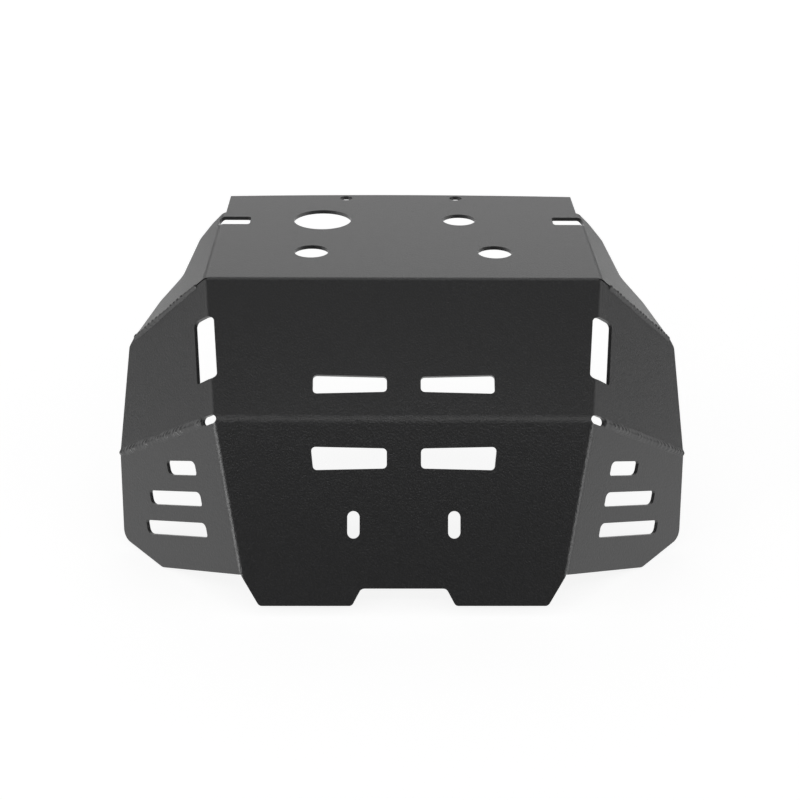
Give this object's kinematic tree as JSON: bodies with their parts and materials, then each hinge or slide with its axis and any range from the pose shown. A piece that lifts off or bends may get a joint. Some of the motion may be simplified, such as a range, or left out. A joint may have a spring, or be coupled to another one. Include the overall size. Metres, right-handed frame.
{
  "type": "motorcycle skid plate",
  "caption": "Folded and seam-welded sheet-metal guard that shields the underside and front of a motorcycle engine, with bolt slots, drain holes and cooling slots.",
  "frame": {"origin": "middle of the bounding box at its base", "axes": "+X across the machine, +Y to the back of the belly, +Z out of the belly's outer face; the plate is shown dome-up, turned over from how it hangs under the engine"},
  "size_m": [0.4392, 0.3463, 0.2043],
  "materials": {
    "powder_coat": "black satin powder coat with a fine grain"
  },
  "bodies": {
    "root": {"skid_plate": "powder_coat"}
  },
  "joints": []
}
